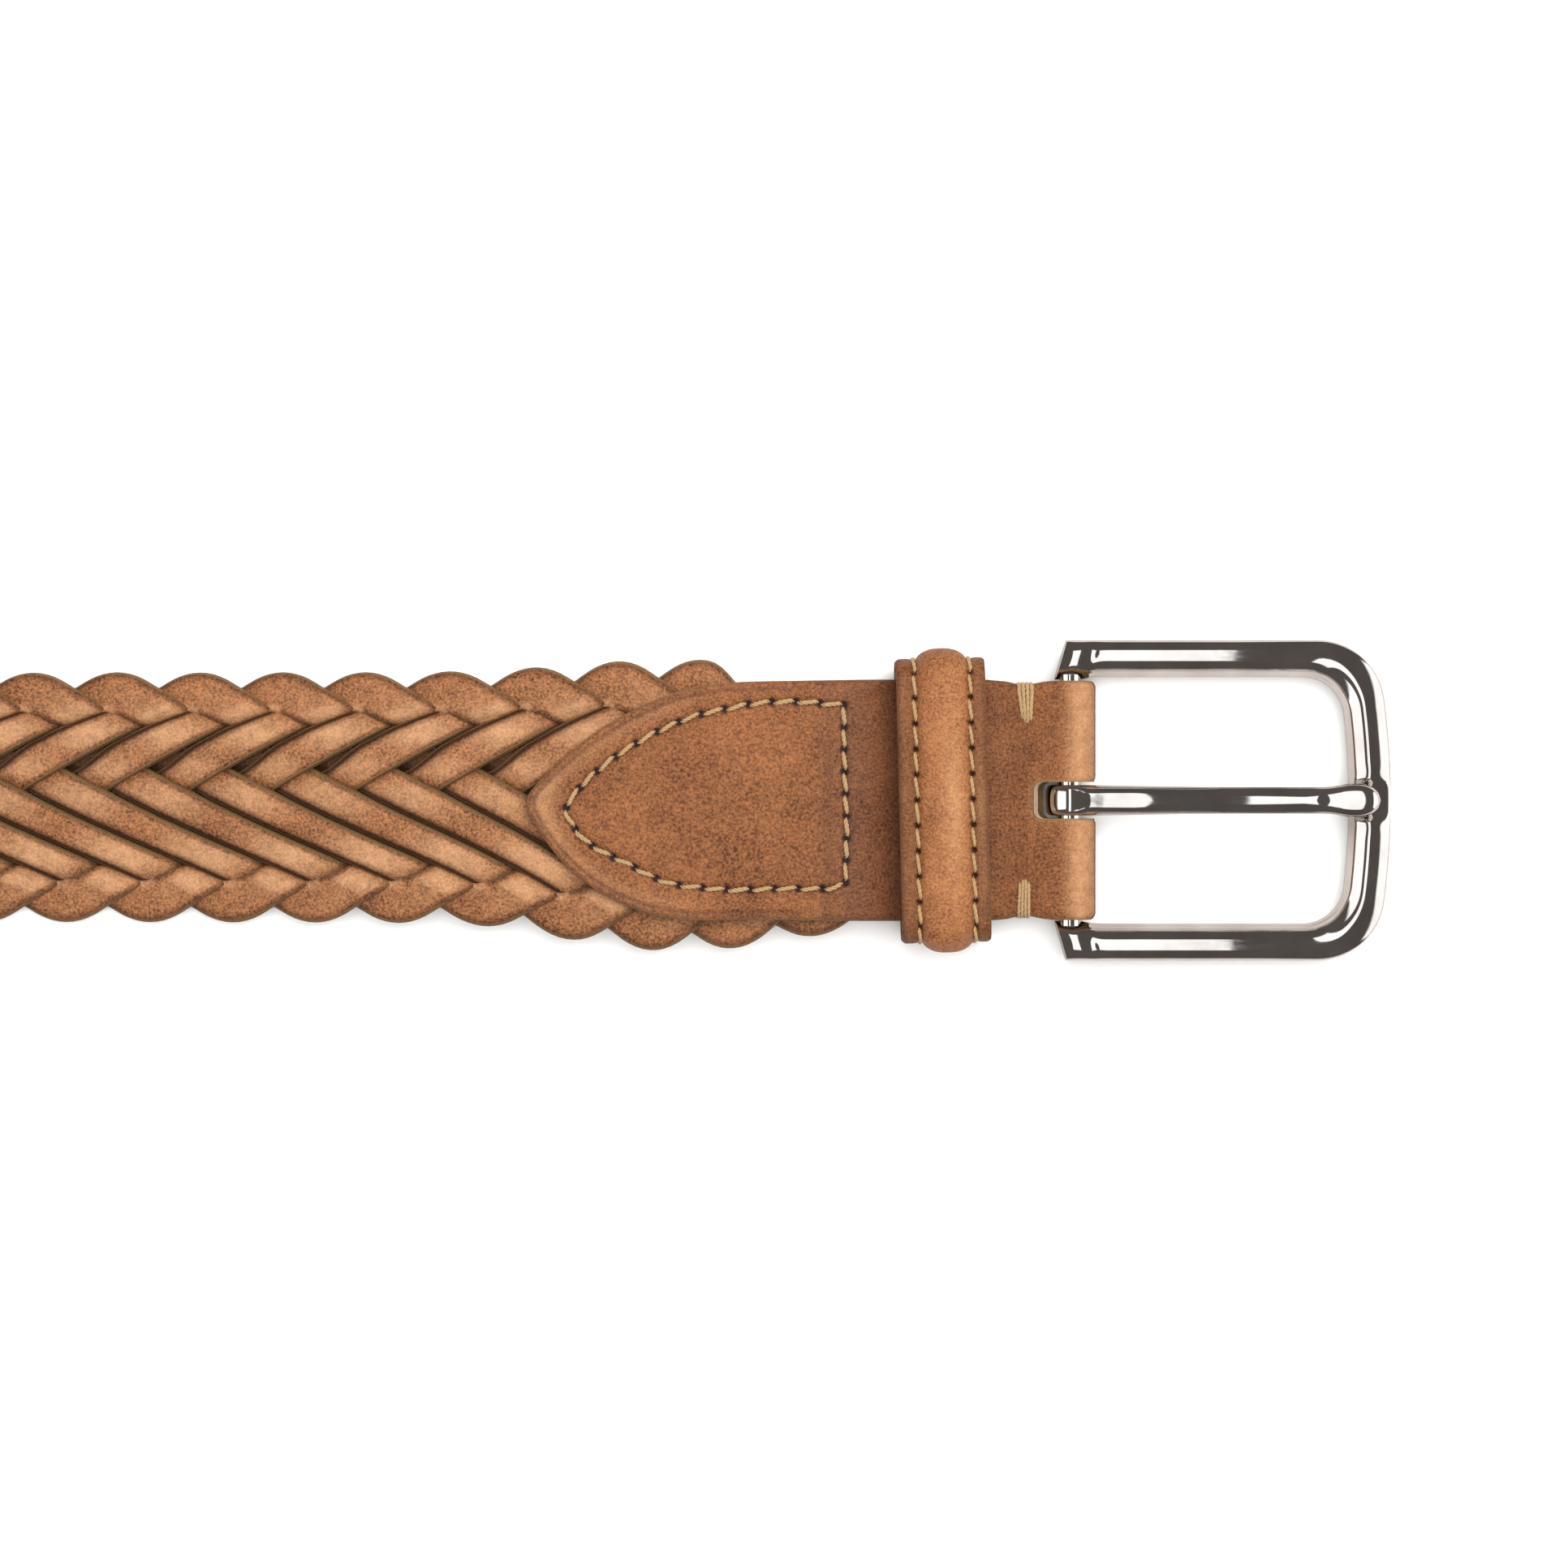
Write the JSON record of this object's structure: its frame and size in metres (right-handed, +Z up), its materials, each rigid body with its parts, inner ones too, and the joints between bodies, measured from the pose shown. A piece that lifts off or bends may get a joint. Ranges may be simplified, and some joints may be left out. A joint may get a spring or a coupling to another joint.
{
  "type": "braided leather belt",
  "caption": "Flat braided leather dress belt with a stitched chape, a metal buckle with a swinging prong, a sliding keeper and a punched leather tip.",
  "frame": {"origin": "middle of the belt's footprint on the table it lies on: half way between the tip's end and the buckle's end rail, on the centre line, at the height of the table", "axes": "+X runs along the belt from the tip to the buckle, +Y goes across the belt, and +Z points up, out of the belt's right side"},
  "size_m": [1.0456, 0.0454, 0.0134],
  "materials": {
    "braid_leather": "vegetable tanned, waxed, with burnished edges",
    "smooth_leather": "vegetable tanned, smooth grain, waxed",
    "keeper_leather": "vegetable tanned, smooth grain, light",
    "padding_felt": "pressed felt",
    "cream_thread": "waxed twisted linen thread",
    "polished_nickel": "polished nickel plate on a cast frame"
  },
  "bodies": {
    "strap": {"strand_01": "braid_leather", "strand_02": "braid_leather", "strand_03": "braid_leather", "strand_04": "braid_leather", "strand_05": "braid_leather", "strand_06": "braid_leather", "strand_07": "braid_leather", "strand_08": "braid_leather", "strand_09": "braid_leather", "strand_10": "braid_leather", "chape_leather": "smooth_leather", "chape_thread": "cream_thread", "bar_tack_top": "cream_thread", "bar_tack_bottom": "cream_thread", "tip_front": "smooth_leather", "tip_back": "smooth_leather", "tip_thread": "cream_thread"},
    "frame": {"buckle_frame": "polished_nickel"},
    "prong": {"prong": "polished_nickel"},
    "keeper": {"keeper_band": "keeper_leather", "keeper_lining": "keeper_leather", "keeper_core": "padding_felt", "keeper_thread_left": "cream_thread", "keeper_thread_right": "cream_thread"}
  },
  "joints": [
    {"name": "frame_swing", "type": "hinge", "parent": "strap", "child": "frame", "pos_m": [0.47725, 0, 0.0042], "axis": [0, -1, 0], "range_deg": [-60, 25]},
    {"name": "prong_lift", "type": "hinge", "parent": "frame", "child": "prong", "pos_m": [0.47725, 0, 0.0042], "axis": [0, -1, 0], "range_deg": [0, 85]},
    {"name": "keeper_slide", "type": "slide", "parent": "strap", "child": "keeper", "axis": [1, 0, 0], "range_m": [-0.0015, 0.003]}
  ]
}
